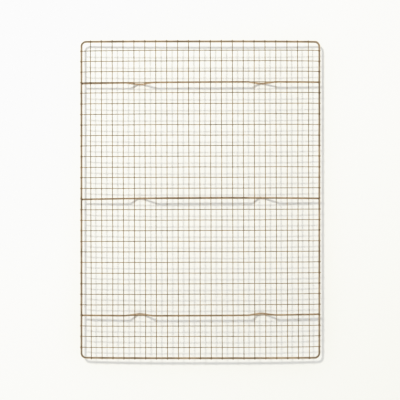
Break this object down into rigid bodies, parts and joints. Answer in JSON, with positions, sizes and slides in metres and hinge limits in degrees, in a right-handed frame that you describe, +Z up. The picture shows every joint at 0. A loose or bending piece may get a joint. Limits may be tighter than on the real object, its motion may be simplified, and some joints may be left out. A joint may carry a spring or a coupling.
{
  "type": "cooling rack",
  "caption": "Rectangular wire cooling rack: a fine mesh on a thick rounded border wire, standing on feet bent into its cross bars, that lets air reach baked goods from below.",
  "frame": {"origin": "under the middle of the rack, on the surface that its feet stand on", "axes": "+X across the rack, along its crosswise wires; +Y along its long side; +Z up"},
  "size_m": [0.3066, 0.406, 0.019],
  "materials": {
    "border_wire": "satin champagne-gold plating on thick drawn steel wire",
    "leg_wire": "satin champagne-gold plating on bent steel wire",
    "mesh_wire": "satin champagne-gold plating on thin drawn steel wire"
  },
  "bodies": {
    "root": {"border_left": "border_wire", "border_right": "border_wire", "border_front": "border_wire", "border_rear": "border_wire", "leg_wire_front": "leg_wire", "leg_wire_middle": "leg_wire", "leg_wire_rear": "leg_wire", "long_wire_01": "mesh_wire", "long_wire_02": "mesh_wire", "long_wire_03": "mesh_wire", "long_wire_04": "mesh_wire", "long_wire_05": "mesh_wire", "long_wire_06": "mesh_wire", "long_wire_07": "mesh_wire", "long_wire_08": "mesh_wire", "long_wire_09": "mesh_wire", "long_wire_10": "mesh_wire", "long_wire_11": "mesh_wire", "long_wire_12": "mesh_wire", "long_wire_13": "mesh_wire", "long_wire_14": "mesh_wire", "long_wire_15": "mesh_wire", "long_wire_16": "mesh_wire", "long_wire_17": "mesh_wire", "long_wire_18": "mesh_wire", "long_wire_19": "mesh_wire", "long_wire_20": "mesh_wire", "long_wire_21": "mesh_wire", "cross_wire_01": "mesh_wire", "cross_wire_02": "mesh_wire", "cross_wire_03": "mesh_wire", "cross_wire_04": "mesh_wire", "cross_wire_05": "mesh_wire", "cross_wire_06": "mesh_wire", "cross_wire_07": "mesh_wire", "cross_wire_08": "mesh_wire", "cross_wire_09": "mesh_wire", "cross_wire_10": "mesh_wire", "cross_wire_11": "mesh_wire", "cross_wire_12": "mesh_wire", "cross_wire_13": "mesh_wire", "cross_wire_14": "mesh_wire", "cross_wire_15": "mesh_wire", "cross_wire_16": "mesh_wire", "cross_wire_17": "mesh_wire", "cross_wire_18": "mesh_wire", "cross_wire_19": "mesh_wire", "cross_wire_20": "mesh_wire", "cross_wire_21": "mesh_wire", "cross_wire_22": "mesh_wire", "cross_wire_23": "mesh_wire", "cross_wire_24": "mesh_wire", "cross_wire_25": "mesh_wire", "cross_wire_26": "mesh_wire", "cross_wire_27": "mesh_wire", "cross_wire_28": "mesh_wire", "cross_wire_29": "mesh_wire"}
  },
  "joints": []
}
